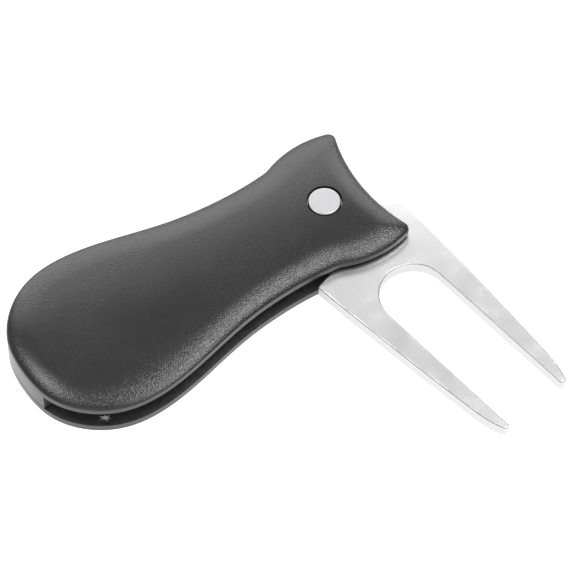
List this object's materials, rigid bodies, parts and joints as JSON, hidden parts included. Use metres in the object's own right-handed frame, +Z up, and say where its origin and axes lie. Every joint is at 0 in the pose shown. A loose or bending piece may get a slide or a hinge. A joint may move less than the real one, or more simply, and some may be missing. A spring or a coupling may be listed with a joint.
{
  "type": "divot repair tool",
  "caption": "Folding golf divot repair tool: a steel fork pivots out of a slotted black plastic handle with a push button at the pivot.",
  "frame": {"origin": "on the pivot axis, in the flat back face that the tool lies on", "axes": "+X along the handle towards its pivot end, +Z up out of the button's face, +Y towards the closed side of the slot"},
  "size_m": [0.0777, 0.0703, 0.009],
  "materials": {
    "black_shell": "satin moulded ABS with a fine spark-eroded grain",
    "fork_steel": "tumbled satin stainless steel with fine scratches",
    "button_metal": "satin turned face",
    "screw_steel": "zinc plated",
    "barrel_steel": "turned",
    "key_steel": "stamped",
    "spring_steel": "bright spring wire and strip",
    "insert_brass": "turned and knurled",
    "nylon": "natural nylon"
  },
  "bodies": {
    "handle": {"front_shell": "black_shell", "back_shell": "black_shell", "shell_screws": "screw_steel", "pivot_barrel": "barrel_steel", "pivot_insert": "insert_brass", "wave_washer": "spring_steel", "front_washer": "nylon", "back_washer": "nylon", "button_spring": "spring_steel"},
    "fork": {"fork": "fork_steel"},
    "button": {"push_button": "button_metal", "lock_key": "key_steel"}
  },
  "joints": [
    {"name": "fork_pivot", "type": "hinge", "parent": "handle", "child": "fork", "pos_m": [0, 0, 0.00442], "axis": [0, 0, 1], "range_deg": [-98.4, 81.6]},
    {"name": "button_press", "type": "slide", "parent": "handle", "child": "button", "axis": [0, 0, -1], "range_m": [0, 0.0003], "stiffness_N_per_m": 600, "deforming": ["button_spring"]}
  ]
}
